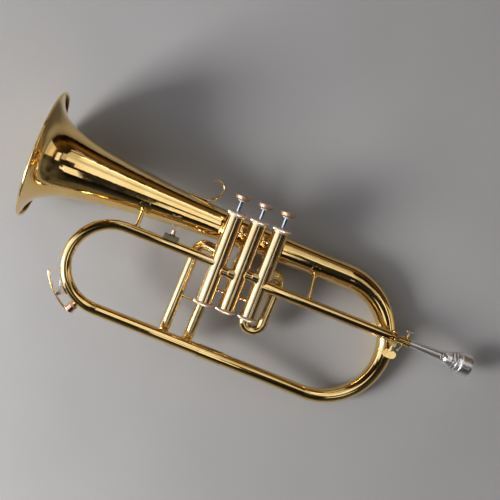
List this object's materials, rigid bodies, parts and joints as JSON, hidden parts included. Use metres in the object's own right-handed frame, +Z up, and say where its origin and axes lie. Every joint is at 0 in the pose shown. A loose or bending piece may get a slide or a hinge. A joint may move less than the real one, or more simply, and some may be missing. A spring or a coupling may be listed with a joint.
{
  "type": "flugelhorn",
  "caption": "Flugelhorn lying on its side: wide conical bell and bow, piston valve block with slides, leadpipe, mouthpiece and water key.",
  "frame": {"origin": "centre of the bounding box at floor level, with the horn lying on its right side on its bell rim and bell bow", "axes": "+X towards the mouthpiece, +Y towards the finger buttons, +Z up, towards the player's left"},
  "size_m": [0.5724, 0.2348, 0.151],
  "materials": {
    "lacquered_brass": "clear lacquered yellow brass, polished",
    "casing_brass": "clear lacquered rose-tinted brass, polished",
    "dull_brass": "worn, slightly tarnished plated brass",
    "tarnished_brass": "grey-green tarnished brass",
    "silver_plate": "silver plate with dark tarnish specks",
    "nickel_stem": "bright nickel silver",
    "monel_piston": "honed nickel-copper alloy",
    "spring_steel": "bright spring wire",
    "felt": "pressed wool felt",
    "cork": "natural cork"
  },
  "bodies": {
    "horn": {"bell": "lacquered_brass", "bell_bow": "lacquered_brass", "bell_saddles": "lacquered_brass", "bell_to_branch_brace": "lacquered_brass", "bell_to_leadpipe_brace": "lacquered_brass", "bottom_branch": "lacquered_brass", "bottom_branch_sleeve": "lacquered_brass", "bottom_caps": "dull_brass", "cap_felts": "felt", "casing_spools": "casing_brass", "clamp_collar": "lacquered_brass", "finger_hook": "lacquered_brass", "first_slide_outer_legs": "lacquered_brass", "knuckle_2_1": "casing_brass", "knuckle_3_2": "casing_brass", "leadpipe": "lacquered_brass", "lyre_box": "tarnished_brass", "second_slide_outer_legs": "lacquered_brass", "third_slide_brace": "lacquered_brass", "third_slide_outer_legs": "lacquered_brass", "third_valve_ferrule": "casing_brass", "top_cap_1": "dull_brass", "top_cap_2": "dull_brass", "top_cap_3": "dull_brass", "upper_branch": "lacquered_brass", "valve_casing_1": "casing_brass", "valve_casing_2": "casing_brass", "valve_casing_3": "casing_brass", "valve_springs": "spring_steel", "water_key_bow": "lacquered_brass", "water_key_nipple": "lacquered_brass", "water_key_pin": "spring_steel", "water_key_saddle": "lacquered_brass", "water_key_spring": "spring_steel"},
    "valve_1": {"piston_1": "monel_piston", "valve_stem_1": "nickel_stem", "finger_button_1": "dull_brass", "button_felt_1": "felt"},
    "valve_2": {"piston_2": "monel_piston", "valve_stem_2": "nickel_stem", "finger_button_2": "dull_brass", "button_felt_2": "felt"},
    "valve_3": {"piston_3": "monel_piston", "valve_stem_3": "nickel_stem", "finger_button_3": "dull_brass", "button_felt_3": "felt"},
    "first_slide": {"first_slide_inner_legs": "lacquered_brass", "first_slide_bow": "lacquered_brass"},
    "second_slide": {"second_slide_inner_legs": "lacquered_brass", "second_slide_bow": "lacquered_brass"},
    "third_slide": {"third_slide_inner_legs": "lacquered_brass", "third_slide_bow": "lacquered_brass"},
    "mouthpipe_shank": {"tuning_shank": "lacquered_brass", "receiver_pin": "silver_plate"},
    "receiver_thumbscrew": {"receiver_screw": "lacquered_brass"},
    "mouthpiece_body": {"mouthpiece": "silver_plate"},
    "clamp_thumbscrew": {"clamp_screw": "lacquered_brass"},
    "lyre_thumbscrew": {"lyre_screw": "tarnished_brass"},
    "water_key": {"water_key_lever": "lacquered_brass", "water_key_cork": "cork"}
  },
  "joints": [
    {"name": "valve_1_press", "type": "slide", "parent": "horn", "child": "valve_1", "axis": [0.0054, -0.9862, -0.1655], "range_m": [0, 0.0126], "stiffness_N_per_m": 260, "springref_m": -0.009, "deforming": ["valve_springs"]},
    {"name": "valve_2_press", "type": "slide", "parent": "horn", "child": "valve_2", "axis": [0.0054, -0.9862, -0.1655], "range_m": [0, 0.0126], "stiffness_N_per_m": 260, "springref_m": -0.009, "deforming": ["valve_springs"]},
    {"name": "valve_3_press", "type": "slide", "parent": "horn", "child": "valve_3", "axis": [0.0054, -0.9862, -0.1655], "range_m": [0, 0.0126], "stiffness_N_per_m": 260, "springref_m": -0.009, "deforming": ["valve_springs"]},
    {"name": "first_slide_pull", "type": "slide", "parent": "horn", "child": "first_slide", "axis": [-0.0222, -0.9866, -0.1618], "range_m": [0, 0.018]},
    {"name": "second_slide_pull", "type": "slide", "parent": "horn", "child": "second_slide", "axis": [-0.1342, 0.1633, -0.9774], "range_m": [0, 0.012]},
    {"name": "third_slide_pull", "type": "slide", "parent": "horn", "child": "third_slide", "axis": [-0.0222, -0.9866, -0.1618], "range_m": [0, 0.026]},
    {"name": "mouthpipe_pull", "type": "slide", "parent": "horn", "child": "mouthpipe_shank", "axis": [0.9907, 0, -0.1361], "range_m": [0, 0.02]},
    {"name": "mouthpiece_pull", "type": "slide", "parent": "mouthpipe_shank", "child": "mouthpiece_body", "axis": [0.9907, 0, -0.1361], "range_m": [0, 0.02]},
    {"name": "receiver_screw_turn", "type": "hinge", "parent": "mouthpipe_shank", "child": "receiver_thumbscrew", "pos_m": [0.20053, 0.00036, 0.03673], "axis": [0.0222, 0.9866, 0.1618], "range_deg": [0, 540]},
    {"name": "clamp_screw_turn", "type": "hinge", "parent": "horn", "child": "clamp_thumbscrew", "pos_m": [0.18483, -0.01521, 0.04733], "axis": [0.0222, 0.9866, 0.1618], "range_deg": [0, 540]},
    {"name": "lyre_screw_turn", "type": "hinge", "parent": "horn", "child": "lyre_thumbscrew", "pos_m": [-0.10244, 0.00816, 0.07964], "axis": [0.0222, 0.9866, 0.1618], "range_deg": [0, 540]},
    {"name": "water_key_lift", "type": "hinge", "parent": "horn", "child": "water_key", "pos_m": [-0.20006, -0.10019, 0.07494], "axis": [-0.1342, 0.1633, -0.9774], "range_deg": [0, 15], "stiffness_Nm_per_rad": 0.06, "springref_deg": -34.38, "deforming": ["water_key_spring"]}
  ]
}
